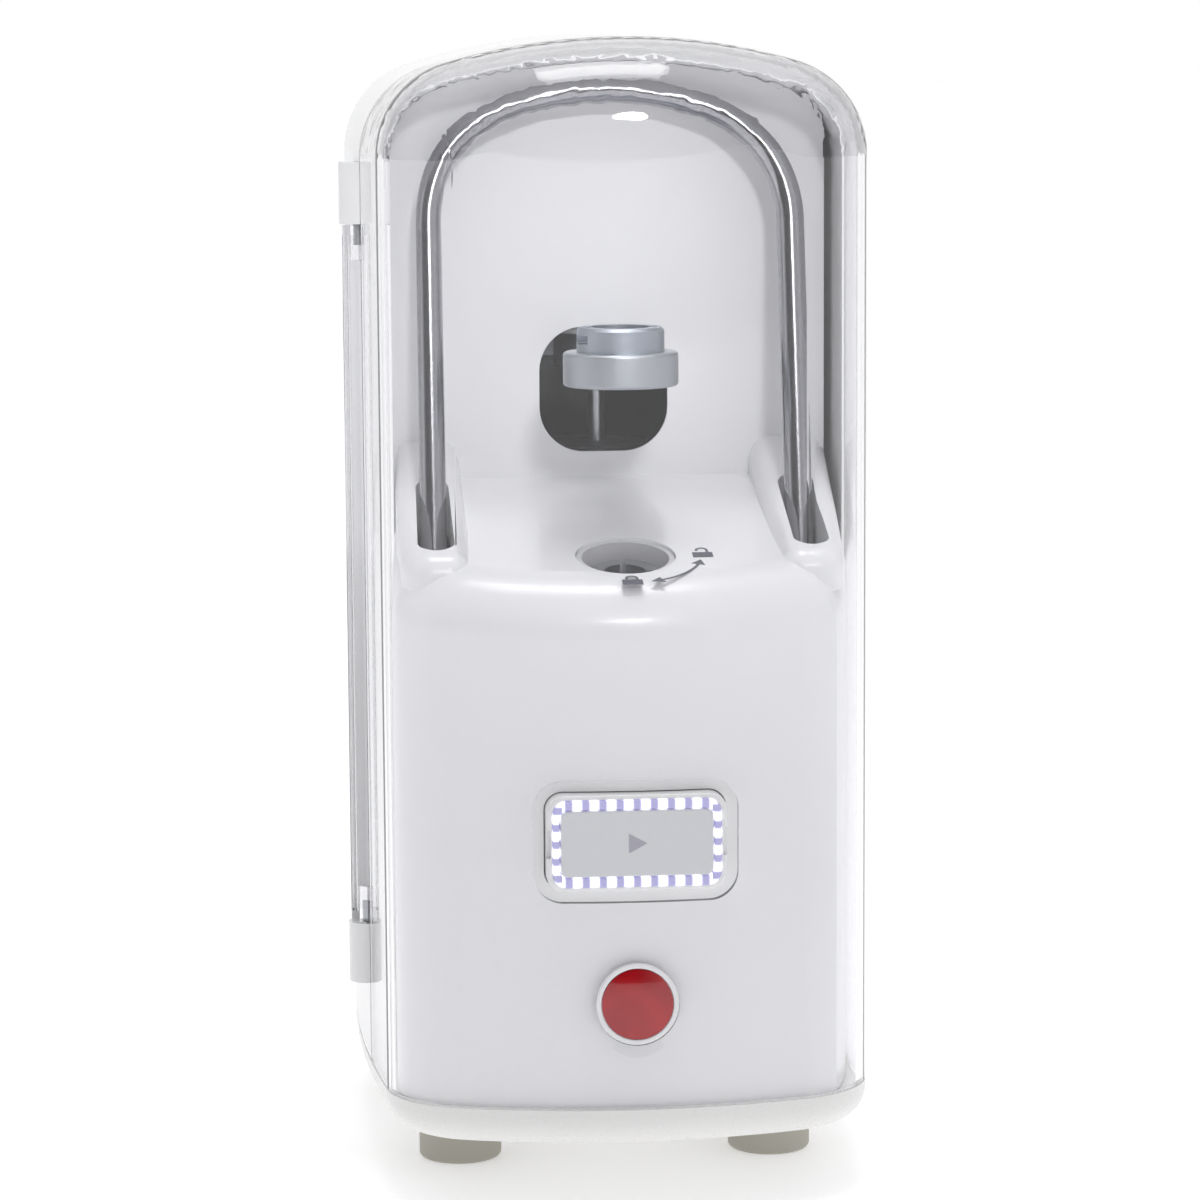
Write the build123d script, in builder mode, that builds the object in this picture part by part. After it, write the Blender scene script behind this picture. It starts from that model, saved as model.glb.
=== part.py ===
from build123d import *
import os
from math import asin, atan, cos, degrees, radians, sin, tan

os.makedirs("parts", exist_ok=True)

# Hull: the front faces -Y, the hinge of the door is on the left at -X
height = 325.0
depth = 185.0
half_width = 73.5
front_y = -depth / 2
back_y = depth / 2
nose_r = 164.7
side_r = 755.0
widest_y = front_y + 120.0
corner_r = 28.0
crown_r = 175.0
top_edge_r = 27.0

# Base tray and feet
foot_h = 19.0
foot_r = 12.0
foot_x = half_width - 28.0
foot_front_y = front_y + 70.0
foot_rear_y = back_y - 33.0
seam_z = 30.0
tray_wall = 3.0
tray_edge_r = 9.0
seat_gap = 0.3

# Door and rear cover
door_wall = 2.5
cover_wall = 3.0
split_y = front_y + 65.0
door_gap = 0.6
door_z = seam_z + door_gap
hinge_x = 1.8 - half_width
hinge_y = front_y + 71.0
knuckle_r = 5.5
barrel_r = 4.7
knuckle_low = 53.0
knuckle_high = height - 35.0
knuckle_len = 17.5
hinge_clear = 0.4
notch_clear = 0.9
notch_r = knuckle_r + notch_clear
pin_r = 1.5
run_fit = 0.06
swing_clear = 2.7
swing_r = half_width - hinge_x - door_wall - swing_clear

# Liner: back wall, deck and front skirt in one moulding
liner_inset = 3.3
liner_wall = 2.6
wall_y = 0.0
liner_back_y = wall_y + 5.5
deck_tilt = 13.8
deck_edge_r = 18.0
deck_blend_r = 24.0
hole_y = front_y + 29.0
hole_z = 181.5
hole_r = 14.0

# Arm port in the back wall
port_w = 37.5
port_h = 36.6
port_z = 222.6
port_r = 13.0
port_depth = 7.5

# Lever
lever_x = half_width - 21.0
lever_y = front_y + 43.0
lever_z = 125.0
lever_top = height - 135.0
lever_tube_r = 4.0
lever_gap = 4.6
lever_lean = degrees(asin((wall_y - lever_gap - lever_tube_r - lever_y) / lever_top))
lever_corner_r = 36.0
lever_corner_angle = 67.6
lever_travel = 18.0
shoulder_rise = 11.0
shoulder_front_rise = 2.5
shoulder_root = 8.0
shoulder_lap = 10.0
shoulder_inset = 6.0
shoulder_r = 7.0
slot_w = 10.4
slot_len = 44.0
slot_mid = 20.5
axle_r = 3.0

# Mixing arm and its drive
rotor_y = wall_y + 25.5
arm_low = 228.0
arm_high = 237.6
arm_half = 6.0
tail_len = 27.0
tail_half = 24.0
buffer_x = 30.0
buffer_r = 3.6
collar_y = front_y + 40.0
collar_r = 16.1
sleeve_r = 12.25
sleeve_top = 244.5
sleeve_low = arm_low
sleeve_lip = 1.5
sleeve_floor = 2.0
capsule_r = 8.4
shaft_r = 2.5
flywheel_r = 17.0
flywheel_low = 199.0
flywheel_t = 6.0
motor_r = 26.0
motor_low = 66.0
motor_high = 150.0
frame_z = 158.0
frame_t = 3.0

# Start button in its lit frame
button_z = 105.5
block_w = 50.0
block_h = 27.0
moat = 3.4
glow_w = 46.4
glow_h = 24.0
glow_t = 1.7
block_front = front_y - 0.8
block_seat = front_y + 2.7
button_gap = 0.3
button_travel = 1.2

# Badge on the door
badge_z = 60.0
badge_r = 11.5
badge_rim = 1.5

# Socket in the deck
cup_r = hole_r - seat_gap
cup_bore = 12.2
cup_depth = 26.0
socket_r = 11.2
socket_top = -5.0
plunger_r = 5.94
plunger_bore = 6.0
plunger_top = -14.0
plunger_travel = 3.0
cam_r = 14.0
cam_gap = 0.9

# Rear fittings
rear_z = 64.0
inlet_x = -28.0
inlet_w = 27.4
inlet_h = 20.0
rocker_x = 26.0
rocker_w = 13.0
rocker_h = 19.0

stand = (Align.CENTER, Align.CENTER, Align.MIN)
deck_plane = Plane(
    origin=(0, hole_y, hole_z),
    x_dir=(1, 0, 0),
    z_dir=(0, -sin(radians(deck_tilt)), cos(radians(deck_tilt))),
)
lever_plane = Plane(
    origin=(0, lever_y, lever_z),
    x_dir=(1, 0, 0),
    z_dir=(0, -cos(radians(lever_lean)), sin(radians(lever_lean))),
)
front_plane = Plane.XZ.offset(-front_y)
back_plane = Plane.XZ.offset(-back_y)

def hull_plan(inset):
    """Plan of the hull, set in all round: bowed nose and sides, flat back, round corners."""
    with BuildSketch() as plan:
        with Locations((0, front_y + nose_r)):
            Circle(nose_r - inset)
        with Locations(Location((half_width - side_r, widest_y), 180)):
            Circle(side_r - inset, mode=Mode.INTERSECT)
        with Locations((side_r - half_width, widest_y)):
            Circle(side_r - inset, mode=Mode.INTERSECT)
        with Locations((0, -inset)):
            Rectangle(2 * depth, depth, mode=Mode.INTERSECT)
        fillet(plan.vertices(), radius=corner_r - inset)
    return plan.sketch


def hull_form(inset, low_z):
    """Solid form of the hull, set in all round, from low_z up to its crowned top."""
    with BuildPart() as form:
        with BuildSketch(Plane.XY.offset(low_z)):
            add(hull_plan(inset))
        extrude(amount=height - low_z + 5)
        with Locations((0, 0, height - crown_r)):
            Cylinder(crown_r - inset, 2 * depth, rotation=(90, 0, 0), mode=Mode.INTERSECT)
        fillet(form.faces().sort_by(Axis.Z)[-1].edges(), radius=top_edge_r - inset)
    return form.part


def liner_form(inset):
    """Solid form under the deck and behind the back wall, set in by the inset."""
    slope = tan(radians(deck_tilt))
    drop = inset / cos(radians(deck_tilt))
    far = front_y - 20
    wall = wall_y + inset
    with BuildPart() as form:
        add(hull_form(liner_inset + inset, seam_z + seat_gap - inset))
        with BuildSketch(Plane.YZ.offset(-depth)) as side:
            with BuildLine():
                Polyline(
                    (far, 0),
                    (far, hole_z - drop + (far - hole_y) * slope),
                    (wall, hole_z - drop + (wall - hole_y) * slope),
                    (wall, height + 10),
                    (back_y + 10, height + 10),
                    (back_y + 10, 0),
                    close=True,
                )
            make_face()
            corner = side.vertices().sort_by_distance((0, wall, hole_z + (wall - hole_y) * slope))
            fillet(corner[0], radius=deck_blend_r + inset)
        extrude(amount=2 * depth, mode=Mode.INTERSECT)
        with Locations((hinge_x, hinge_y, height / 2)):
            Cylinder(swing_r - inset, 2 * height, mode=Mode.INTERSECT)
        with Locations((0, liner_back_y + inset - depth, height / 2)):
            Box(2 * depth, 2 * depth, 2 * height, mode=Mode.INTERSECT)
        deck = form.faces().filter_by(Axis.X, reverse=True).sort_by_distance(
            (0, hole_y, hole_z - drop)
        )[0]
        rim = deck.edges().filter_by_position(Axis.Y, front_y - 5, wall_y - 12, (True, True))
        fillet(rim, radius=deck_edge_r - inset)
    return form.part


# Base tray: floor, rounded lower edge, a wall all round and a boss over each foot
foot_mid_y = (foot_front_y + foot_rear_y) / 2
foot_pitch = foot_rear_y - foot_front_y
chassis_z = seam_z + 3.0
with BuildPart() as base_tray:
    with BuildSketch(Plane.XY.offset(foot_h)):
        add(hull_plan(0))
    extrude(amount=seam_z - foot_h)
    fillet(base_tray.faces().sort_by(Axis.Z)[0].edges(), radius=tray_edge_r)
    with BuildSketch(Plane.XY.offset(foot_h + tray_wall)):
        add(hull_plan(3 * tray_wall))
    extrude(amount=seam_z, mode=Mode.SUBTRACT)
    with Locations((0, foot_mid_y, (chassis_z + foot_h + tray_wall) / 2)):
        with GridLocations(2 * foot_x, foot_pitch, 2, 2):
            Cylinder(8, chassis_z - foot_h - tray_wall)
    with Locations((0, foot_mid_y, chassis_z / 2)):
        with GridLocations(2 * foot_x, foot_pitch, 2, 2):
            Cylinder(2.1, chassis_z + 5, mode=Mode.SUBTRACT)
base_tray.part.label = "base_tray"
export_step(base_tray.part, "parts/base_tray.step")

# Feet: soft buffers with a rounded tread and a hollow for the screw head
foot_names = ["foot_rear_left", "foot_front_left", "foot_rear_right", "foot_front_right"]
foot_places = [
    (-foot_x, foot_rear_y),
    (-foot_x, foot_front_y),
    (foot_x, foot_rear_y),
    (foot_x, foot_front_y),
]
for foot_name, (spot_x, spot_y) in zip(foot_names, foot_places):
    with BuildPart() as foot:
        with Locations((spot_x, spot_y, 0)):
            Cylinder(foot_r, foot_h, align=stand)
        fillet(foot.edges().group_by(Axis.Z)[0], radius=1.6)
        fillet(foot.edges().group_by(Axis.Z)[-1], radius=0.6)
        with Locations((spot_x, spot_y, 0)):
            Cylinder(4.4, 6.0, align=stand, mode=Mode.SUBTRACT)
            Cylinder(2.1, foot_h, align=stand, mode=Mode.SUBTRACT)
    foot.part.label = foot_name
    export_step(foot.part, "parts/" + foot_name + ".step")

# Screws through the feet and the tray bosses into the chassis plate
with BuildPart() as foot_screws:
    with Locations((0, foot_mid_y, 3.2)):
        with GridLocations(2 * foot_x, foot_pitch, 2, 2):
            Cylinder(3.6, 2.8, align=stand)
            Cylinder(1.8, 31.4, align=stand)
    fillet(foot_screws.edges().group_by(Axis.Z)[0], radius=0.8)
foot_screws.part.label = "foot_screws"
export_step(foot_screws.part, "parts/foot_screws.step")

# Chassis plate: steel floor that carries the drive, the axle and the boards
chassis_t = 2.0
chassis_top = chassis_z + chassis_t
with BuildPart() as chassis_plate:
    with BuildSketch(Plane.XY.offset(chassis_z)):
        with Locations((0, 5.0)):
            RectangleRounded(2 * half_width - 35, depth - 47, 8)
        with Locations((0, foot_mid_y)):
            with GridLocations(2 * foot_x, foot_pitch, 2, 2):
                Circle(2.1, mode=Mode.SUBTRACT)
        with Locations((0, rotor_y)):
            with PolarLocations(16, 6):
                SlotOverall(14, 5, rotation=90, mode=Mode.SUBTRACT)
    extrude(amount=chassis_t)
chassis_plate.part.label = "chassis_plate"
export_step(chassis_plate.part, "parts/chassis_plate.step")

# Rear cover: sides, hood and back in one shell, open to the front and below
with BuildPart() as rear_cover:
    add(hull_form(0, door_z))
    add(hull_form(cover_wall, door_z - 1), mode=Mode.SUBTRACT)
    with Locations((0, split_y - depth, height / 2)):
        Box(2 * depth, 2 * depth, 2 * height, mode=Mode.SUBTRACT)
    with Locations((hinge_x, hinge_y, (knuckle_low + knuckle_high) / 2)):
        Cylinder(notch_r, knuckle_high - knuckle_low - 2, mode=Mode.SUBTRACT)
    for knuckle_z in (knuckle_low + knuckle_len / 2, knuckle_high - knuckle_len / 2):
        with Locations((hinge_x, hinge_y, knuckle_z)):
            Cylinder(knuckle_r, knuckle_len)
            Cylinder(pin_r + 0.02, knuckle_len, mode=Mode.SUBTRACT)
    with BuildSketch(back_plane):
        with Locations((inlet_x, rear_z)):
            Rectangle(inlet_w + 0.6, inlet_h + 0.6)
        with Locations((rocker_x, rear_z)):
            Rectangle(rocker_w + 6.6, rocker_h + 6.6)
        with Locations((0, 120), (0, height - 63)):
            with GridLocations(8, 1, 11, 1):
                SlotOverall(34, 3.2, rotation=90)
    extrude(amount=12, both=True, mode=Mode.SUBTRACT)
rear_cover.part.label = "rear_cover"
export_step(rear_cover.part, "parts/rear_cover.step")

# Raised shoulders round the lever slots, out to the liner's sides and back into the wall
shoulder_x = lever_x - shoulder_lap
shoulder_front_y = front_y + 20.5
shoulder_back_y = wall_y + 8.0
with BuildSketch() as shoulder_plan:
    add(hull_plan(shoulder_inset))
    with Locations((0, (shoulder_front_y + shoulder_back_y) / 2)):
        with GridLocations(2 * shoulder_x + half_width, 1, 2, 1):
            Rectangle(half_width, shoulder_back_y - shoulder_front_y, mode=Mode.INTERSECT)
    fillet(shoulder_plan.vertices().group_by(Axis.Y)[0], radius=shoulder_r)
shoulder_run = (wall_y - shoulder_front_y) / cos(radians(deck_tilt))
cap_tilt = deck_tilt + degrees(atan((shoulder_rise - shoulder_front_rise) / shoulder_run))
cap_z = hole_z + (wall_y - hole_y) * tan(radians(deck_tilt)) + shoulder_rise / cos(radians(deck_tilt))
cap_plane = Plane(
    origin=(0, wall_y, cap_z),
    x_dir=(1, 0, 0),
    z_dir=(0, -sin(radians(cap_tilt)), cos(radians(cap_tilt))),
)
with BuildPart() as shoulders:
    with BuildSketch(Plane.XY.offset(seam_z)):
        add(shoulder_plan.sketch)
    extrude(amount=height)
    with BuildSketch(cap_plane):
        Rectangle(3 * depth, 3 * depth)
    extrude(amount=2 * height, mode=Mode.SUBTRACT)
    with BuildSketch(deck_plane.offset(-shoulder_root)):
        Rectangle(3 * depth, 3 * depth)
    extrude(amount=-2 * height, mode=Mode.SUBTRACT)
    caps = shoulders.faces().filter_by(
        lambda f: abs(cap_plane.to_local_coords(f.center()).Z) < 0.01
    )
    fillet(caps.edges(), radius=shoulder_r)

# Recess liner: back wall, blend, sloping deck, shoulders round the lever slots, front skirt
with BuildPart() as recess_liner:
    add(liner_form(0))
    add(liner_form(liner_wall), mode=Mode.SUBTRACT)
    add(shoulders.part)
    with BuildSketch(Plane.XZ.offset(-wall_y - port_depth)):
        with Locations((0, port_z)):
            RectangleRounded(port_w + 2 * liner_wall, port_h + 2 * liner_wall, port_r + liner_wall)
    extrude(amount=port_depth - 1)
    with BuildSketch(Plane.XZ.offset(-wall_y - port_depth - 1)):
        with Locations((0, port_z)):
            RectangleRounded(port_w, port_h, port_r)
    extrude(amount=port_depth + 5, mode=Mode.SUBTRACT)
    with BuildSketch(deck_plane.offset(-40)):
        with Locations((0, slot_mid)):
            with GridLocations(2 * lever_x, 1, 2, 1):
                SlotOverall(slot_len, slot_w, rotation=90)
    extrude(amount=80, mode=Mode.SUBTRACT)
    with BuildSketch(deck_plane.offset(-10)):
        Circle(hole_r)
    extrude(amount=20, mode=Mode.SUBTRACT)
    with BuildSketch(front_plane.offset(10)):
        with Locations((0, button_z)):
            RectangleRounded(block_w + 0.6, block_h + 0.6, 5.3)
    extrude(amount=-30, mode=Mode.SUBTRACT)
    with Locations((hinge_x, hinge_y, (knuckle_low + knuckle_high) / 2)):
        Cylinder(notch_r, knuckle_high - knuckle_low + 2 * hinge_clear, mode=Mode.SUBTRACT)
recess_liner.part.label = "recess_liner"
export_step(recess_liner.part, "parts/recess_liner.step")

# Door: clear shell round the front, the front of the sides and the front of the top
with BuildPart() as door:
    add(hull_form(0, door_z))
    add(hull_form(door_wall, door_z - 1), mode=Mode.SUBTRACT)
    with Locations((0, split_y - door_gap + depth, height / 2)):
        Box(2 * depth, 2 * depth, 2 * height, mode=Mode.SUBTRACT)
    barrel_low = knuckle_low + knuckle_len + hinge_clear
    barrel_high = knuckle_high - knuckle_len - hinge_clear
    barrel_mid = (barrel_low + barrel_high) / 2
    with Locations((hinge_x, hinge_y, barrel_mid)):
        Cylinder(barrel_r, barrel_high - barrel_low)
    with Locations((hinge_x + 0.3, hinge_y - 4.2, barrel_mid)):
        Box(1.9, 6.0, barrel_high - barrel_low)
    for knuckle_z in (knuckle_low + knuckle_len / 2, knuckle_high - knuckle_len / 2):
        with Locations((hinge_x, hinge_y, knuckle_z)):
            Cylinder(notch_r, knuckle_len + 2 * hinge_clear, mode=Mode.SUBTRACT)
    with Locations((hinge_x, hinge_y, barrel_low), (hinge_x, hinge_y, barrel_high)):
        Cylinder(pin_r + run_fit, 20, mode=Mode.SUBTRACT)
    with Locations((hinge_x, hinge_y, barrel_mid)):
        with PolarLocations(barrel_r + 0.25, 7, start_angle=110, angular_range=140, rotate=True):
            Cylinder(0.6, barrel_high - barrel_low - 6, mode=Mode.SUBTRACT)
    with BuildSketch(front_plane.offset(10)):
        with Locations((0, button_z)):
            RectangleRounded(block_w + 2 * moat, block_h + 2 * moat, 8)
    extrude(amount=-30, mode=Mode.SUBTRACT)
    with Locations((0, front_y - 93.2, badge_z)):
        Sphere(94.4, mode=Mode.SUBTRACT)
    with Locations((0, front_y + 1.4 - 5, badge_z)):
        Cylinder(badge_r + 0.3, 10, rotation=(90, 0, 0), mode=Mode.SUBTRACT)
door.part.label = "door"
export_step(door.part, "parts/door.step")

# Hinge pins, held in the cover's knuckles
with BuildPart() as hinge_pins:
    for pin_z in (knuckle_low + knuckle_len / 2 + 3.5, knuckle_high - knuckle_len / 2 - 3.5):
        with Locations((hinge_x, hinge_y, pin_z)):
            Cylinder(pin_r, knuckle_len + 5)
hinge_pins.part.label = "hinge_pins"
export_step(hinge_pins.part, "parts/hinge_pins.step")

# Badge: a plain dome in a plain rim
with BuildPart() as badge_ring:
    with BuildSketch(front_plane.offset(-1.4)):
        with Locations((0, badge_z)):
            Circle(badge_r)
            Circle(badge_r - badge_rim, mode=Mode.SUBTRACT)
    extrude(amount=1.5)
    fillet(badge_ring.edges().group_by(Axis.Y)[0], radius=0.5)
badge_ring.part.label = "badge_ring"
export_step(badge_ring.part, "parts/badge_ring.step")
with BuildPart() as badge_dome:
    with BuildSketch(front_plane.offset(-1.4)):
        with Locations((0, badge_z)):
            Circle(badge_r - badge_rim - 0.1)
    extrude(amount=3)
    with Locations((0, front_y - 0.9 + 55, badge_z)):
        Sphere(55, mode=Mode.INTERSECT)
badge_dome.part.label = "badge_dome"
export_step(badge_dome.part, "parts/badge_dome.step")

# Block behind the button, standing through the door's cut-out
with BuildPart() as button_block:
    with BuildSketch(Plane.XZ.offset(-block_front)):
        with Locations((0, button_z)):
            RectangleRounded(block_w, block_h, 5)
    extrude(amount=-9.8)
    fillet(button_block.edges().group_by(Axis.Y)[0], radius=1.0)
    with BuildSketch(Plane.XZ.offset(-block_front - 9.5)):
        with Locations((0, button_z)):
            RectangleRounded(block_w + 6, block_h + 6, 5)
    extrude(amount=-2.4)
    with BuildSketch(Plane.XZ.offset(-block_front + 1)):
        with Locations((0, button_z)):
            RectangleRounded(glow_w + 0.4, glow_h + 0.4, 4.2)
    extrude(amount=-4.5, mode=Mode.SUBTRACT)
    with BuildSketch(Plane.XZ.offset(-block_front + 1)):
        with Locations((0, button_z)):
            RectangleRounded(glow_w - 1.0, glow_h - 2.4, 2)
    extrude(amount=-30, mode=Mode.SUBTRACT)
    with Locations((0, block_front + 1.2, button_z)):
        with GridLocations(block_w, 1, 2, 1):
            Box(2.4, 2.4, 8, mode=Mode.SUBTRACT)
button_block.part.label = "button_block"
export_step(button_block.part, "parts/button_block.step")

# Light frame round the button
with BuildPart() as light_frame:
    with BuildSketch(Plane.XZ.offset(-block_front - 3.2)):
        with Locations((0, button_z)):
            RectangleRounded(glow_w, glow_h, 4)
            RectangleRounded(glow_w - 2 * glow_t, glow_h - 2 * glow_t - 1.4, 2.5, mode=Mode.SUBTRACT)
    extrude(amount=3.9)
    fillet(light_frame.edges().group_by(Axis.Y)[0], radius=0.4)
light_frame.part.label = "light_frame"
export_step(light_frame.part, "parts/light_frame.step")

# Start button: flat panel, a flange that stops it behind the frame, and a stem
panel_w = glow_w - 2 * glow_t - 2 * button_gap
panel_h = glow_h - 2 * glow_t - 1.4 - 2 * button_gap
flange_y = block_front + 3.6
with BuildPart() as start_button:
    with BuildSketch(Plane.XZ.offset(-flange_y)):
        with Locations((0, button_z)):
            RectangleRounded(panel_w, panel_h, 2.2)
    extrude(amount=4.2)
    fillet(start_button.edges().group_by(Axis.Y)[0], radius=0.6)
    with BuildSketch(Plane.XZ.offset(-flange_y - 1.5)):
        with Locations((0, button_z)):
            RectangleRounded(glow_w - 1.6, glow_h - 3.0, 1.6)
    extrude(amount=1.6)
    with Locations((0, flange_y + 4.2, button_z)):
        Cylinder(3, 6, rotation=(90, 0, 0))
start_button.part.label = "start_button"
export_step(start_button.part, "parts/start_button.step")

# Control board on posts behind the skirt, with its push switch
board_y = flange_y + 10.4
board_z = button_z - 7.5
board_w = 74.0
board_h = 62.0
board_rim = 4.0
board_pitch = board_w - 2 * board_rim
board_reach = board_h / 2 - 1.25 * board_rim
with BuildPart() as control_board:
    with Locations((0, board_y + 0.8, board_z)):
        Box(board_w, 1.6, board_h)
    fillet(control_board.edges().filter_by(Axis.Y), radius=2)
    with Locations((0, board_y + 0.8, board_z)):
        with GridLocations(board_pitch, 1, 2, 1):
            with Locations((0, 0, board_reach), (0, 0, -board_reach)):
                Cylinder(1.6, 5, rotation=(90, 0, 0), mode=Mode.SUBTRACT)
control_board.part.label = "control_board"
export_step(control_board.part, "parts/control_board.step")
with BuildPart() as push_switch:
    with Locations((0, board_y - 0.8, button_z)):
        Box(6.2, 1.6, 6.2)
    with Locations((0, board_y - 1.7, button_z)):
        Cylinder(1.7, 0.6, rotation=(90, 0, 0))
push_switch.part.label = "push_switch"
export_step(push_switch.part, "parts/push_switch.step")
with BuildPart() as board_posts:
    with Locations((0, board_y - 0.7, board_z)):
        with GridLocations(board_pitch, 1, 2, 1):
            with Locations((0, 0, board_reach), (0, 0, -board_reach)):
                Cylinder(1.5, 5.0, rotation=(90, 0, 0))
                with Locations((0, 3.1, 0)):
                    Cylinder(2.8, 1.6, rotation=(90, 0, 0))
board_posts.part.label = "board_posts"
export_step(board_posts.part, "parts/board_posts.step")

# Lever hoop: one bent tube with a flattened eye at the foot of each leg
corner_turn = radians(lever_corner_angle)
hoop_crown_r = (lever_x - lever_corner_r * (1 - cos(corner_turn))) / cos(corner_turn)
corner_low = lever_top - lever_corner_r * sin(corner_turn) - hoop_crown_r * (1 - sin(corner_turn))
with BuildPart() as lever_hoop:
    with BuildLine(lever_plane) as hoop_line:
        leg = Line((-lever_x, 4), (-lever_x, corner_low))
        bend = JernArc(start=leg @ 1, tangent=leg % 1, radius=lever_corner_r, arc_size=-lever_corner_angle)
        crown = JernArc(
            start=bend @ 1,
            tangent=bend % 1,
            radius=hoop_crown_r,
            arc_size=-2 * (90 - lever_corner_angle),
        )
        bend_right = JernArc(
            start=crown @ 1, tangent=crown % 1, radius=lever_corner_r, arc_size=-lever_corner_angle
        )
        Line(bend_right @ 1, (bend_right @ 1) + (bend_right % 1) * (corner_low - 4))
    with BuildSketch(Plane(origin=leg @ 0, z_dir=leg % 0)):
        Circle(lever_tube_r)
    sweep()
    with Locations((0, lever_y, lever_z)):
        with GridLocations(2 * lever_x, 1, 2, 1):
            Cylinder(7.5, 2 * lever_tube_r, rotation=(0, 90, 0))
            Cylinder(axle_r + run_fit, 3 * lever_tube_r, rotation=(0, 90, 0), mode=Mode.SUBTRACT)
lever_hoop.part.label = "lever_hoop"
export_step(lever_hoop.part, "parts/lever_hoop.step")

# Axle of the lever, grooved for the clips outside each eye
with BuildPart() as lever_axle:
    with Locations((0, lever_y, lever_z)):
        Cylinder(axle_r, 2 * lever_x + 14, rotation=(0, 90, 0))
        with GridLocations(2 * lever_x + 9.4, 1, 2, 1):
            Cylinder(axle_r + 1, 0.8, rotation=(0, 90, 0), mode=Mode.SUBTRACT)
            Cylinder(axle_r - 0.6, 0.8, rotation=(0, 90, 0))
    chamfer(lever_axle.edges().group_by(Axis.X)[0], length=0.5)
    chamfer(lever_axle.edges().group_by(Axis.X)[-1], length=0.5)
lever_axle.part.label = "lever_axle"
export_step(lever_axle.part, "parts/lever_axle.step")
with BuildPart() as axle_clips:
    for clip_side in (-1, 1):
        with BuildSketch(Plane.YZ.offset(clip_side * (lever_x + 4.7) - 0.3)):
            with Locations((lever_y, lever_z)):
                Circle(5.4)
                Circle(axle_r - 0.55, mode=Mode.SUBTRACT)
                with Locations((0, -4)):
                    Rectangle(3.4, 6, mode=Mode.SUBTRACT)
        extrude(amount=0.6)
axle_clips.part.label = "axle_clips"
export_step(axle_clips.part, "parts/axle_clips.step")

# Brackets that carry the axle, one inside each leg
bracket_x = lever_x - 10
for bracket_name, bracket_side in (("axle_bracket_left", -1), ("axle_bracket_right", 1)):
    with BuildPart() as bracket:
        with BuildSketch(Plane.YZ.offset(bracket_side * bracket_x - 1.5)):
            with BuildLine():
                Polyline(
                    (lever_y - 20, chassis_top),
                    (lever_y + 20, chassis_top),
                    (lever_y + 8, lever_z + 2),
                    (lever_y - 8, lever_z + 2),
                    close=True,
                )
            make_face()
            with Locations((lever_y, lever_z)):
                Circle(8)
            with Locations((lever_y, lever_z)):
                Circle(axle_r + run_fit, mode=Mode.SUBTRACT)
            with Locations((lever_y, lever_z - 58)):
                SlotOverall(44, 13, rotation=90, mode=Mode.SUBTRACT)
        extrude(amount=3)
        with BuildSketch(Plane.XY.offset(chassis_top)):
            with Locations((bracket_side * (bracket_x - 5), lever_y)):
                Rectangle(11, 40)
                with GridLocations(1, 26, 1, 2):
                    Circle(1.7, mode=Mode.SUBTRACT)
        extrude(amount=2.5)
    bracket.part.label = bracket_name
    export_step(bracket.part, "parts/" + bracket_name + ".step")

# Lift cam on the axle: its edge rises evenly with the angle of the lever
cam_rate = plunger_travel / radians(lever_travel)
with BuildPart() as lift_cam:
    with BuildSketch(Plane.YZ.offset(-4)):
        with BuildLine():
            rise = Spline(
                [
                    (
                        lever_y + (cam_r + cam_rate * radians(a)) * sin(radians(a - deck_tilt)),
                        lever_z + (cam_r + cam_rate * radians(a)) * cos(radians(a - deck_tilt)),
                    )
                    for a in range(-30, 51, 10)
                ]
            )
            Polyline(rise @ 1, (lever_y, lever_z), rise @ 0)
        make_face()
        with Locations((lever_y, lever_z)):
            Circle(7.5)
            Circle(axle_r + run_fit, mode=Mode.SUBTRACT)
    extrude(amount=8)
lift_cam.part.label = "lift_cam"
export_step(lift_cam.part, "parts/lift_cam.step")

# Socket in the deck: fixed cup, turning split socket and the plunger that rises in it
with BuildPart() as cup_flange:
    with BuildSketch(deck_plane.offset(-liner_wall - seat_gap - 2)):
        Circle(hole_r + 5)
        Circle(cup_bore, mode=Mode.SUBTRACT)
    extrude(amount=2)
    add(liner_form(liner_wall + seat_gap), mode=Mode.INTERSECT)
with BuildPart() as socket_cup:
    with BuildSketch(deck_plane.offset(-cup_depth)):
        Circle(cup_r)
        Circle(plunger_bore, mode=Mode.SUBTRACT)
    extrude(amount=3)
    with BuildSketch(deck_plane.offset(-cup_depth)):
        Circle(cup_r)
        Circle(cup_bore, mode=Mode.SUBTRACT)
    extrude(amount=cup_depth - 0.8)
    add(cup_flange.part)
socket_cup.part.label = "socket_cup"
export_step(socket_cup.part, "parts/socket_cup.step")
with BuildPart() as lock_socket:
    with BuildSketch(deck_plane.offset(-cup_depth + 3 + seat_gap)):
        Circle(socket_r)
        Circle(plunger_bore, mode=Mode.SUBTRACT)
    extrude(amount=cup_depth - 3 - seat_gap + socket_top)
    with BuildSketch(deck_plane.offset(-12)):
        Rectangle(1.8, 30)
        Rectangle(30, 1.8)
    extrude(amount=12, mode=Mode.SUBTRACT)
    with BuildSketch(deck_plane.offset(socket_top - 2.2)):
        Circle(socket_r + 1)
        Circle(socket_r - 1.6, mode=Mode.SUBTRACT)
    extrude(amount=4, mode=Mode.SUBTRACT)
lock_socket.part.label = "lock_socket"
export_step(lock_socket.part, "parts/lock_socket.step")
tip_w = -(hole_z - lever_z) / cos(radians(deck_tilt)) + cam_r + cam_gap
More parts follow.
